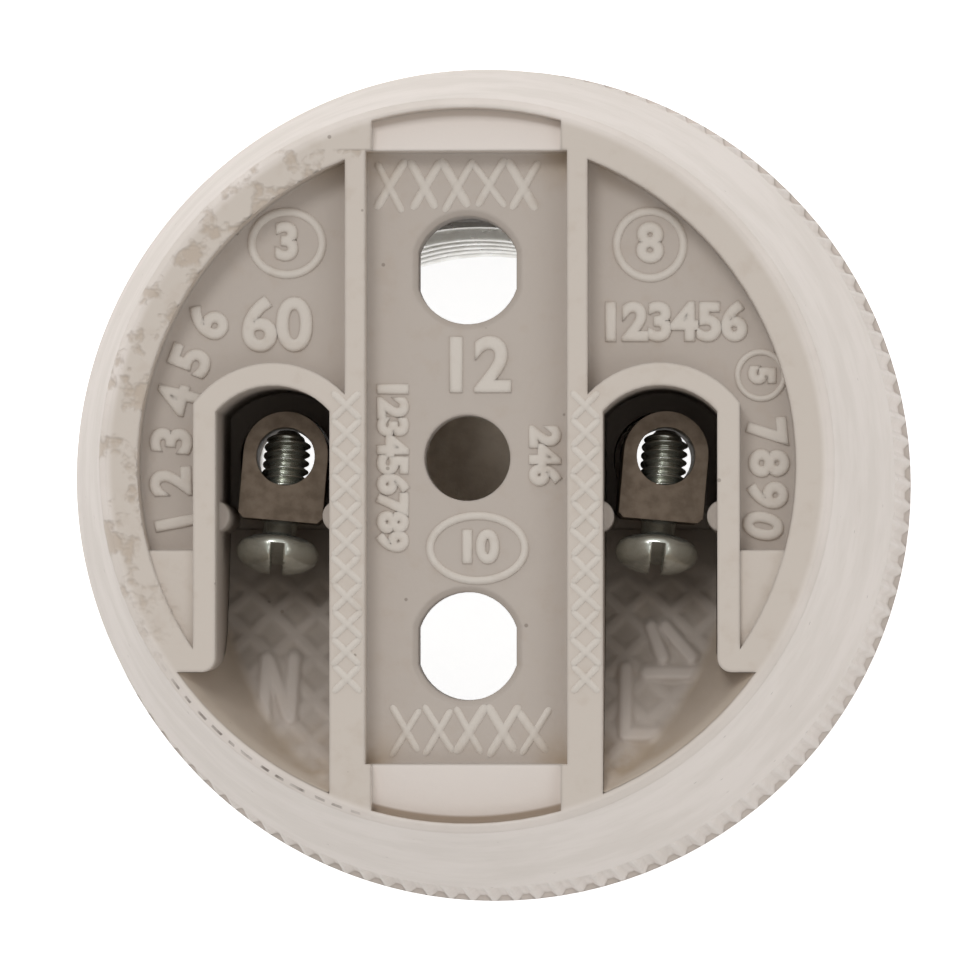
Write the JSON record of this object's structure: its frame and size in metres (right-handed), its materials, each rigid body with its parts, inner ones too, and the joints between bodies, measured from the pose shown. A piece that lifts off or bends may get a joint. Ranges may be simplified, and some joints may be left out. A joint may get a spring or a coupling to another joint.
{
  "type": "screw-in lamp holder",
  "caption": "Round porcelain lamp holder: rolled screw shell in a deep mouth, pillar terminals in open wells and a slotted fixing channel on the back.",
  "frame": {"origin": "centre of the mouth rim, on the axis of the screw shell", "axes": "+Z along the shell's axis from the mouth to the wiring side; +Y along the line of the two fixing slots, away from the screw heads; +X towards the live terminal"},
  "size_m": [0.0464, 0.0464, 0.046],
  "materials": {
    "porcelain": "matt, unglazed",
    "shell_metal": "nickel plated, satin",
    "contact_metal": "dull",
    "pillar_brass": "dull, oxidised",
    "screw_steel": "zinc plated"
  },
  "bodies": {
    "holder": {"porcelain_body": "porcelain", "screw_shell": "shell_metal", "centre_contact": "contact_metal", "contact_button": "contact_metal", "terminal_n": "pillar_brass", "terminal_l": "pillar_brass"},
    "screw_n": {"screw_n": "screw_steel"},
    "screw_l": {"screw_l": "screw_steel"}
  },
  "joints": [
    {"name": "screw_n_slide", "type": "slide", "parent": "holder", "child": "screw_n", "axis": [-0.0733, -0.9622, 0.2621], "range_m": [0, 0.0028]},
    {"name": "screw_l_slide", "type": "slide", "parent": "holder", "child": "screw_l", "axis": [-0.0733, -0.9622, 0.2621], "range_m": [0, 0.0028]}
  ]
}
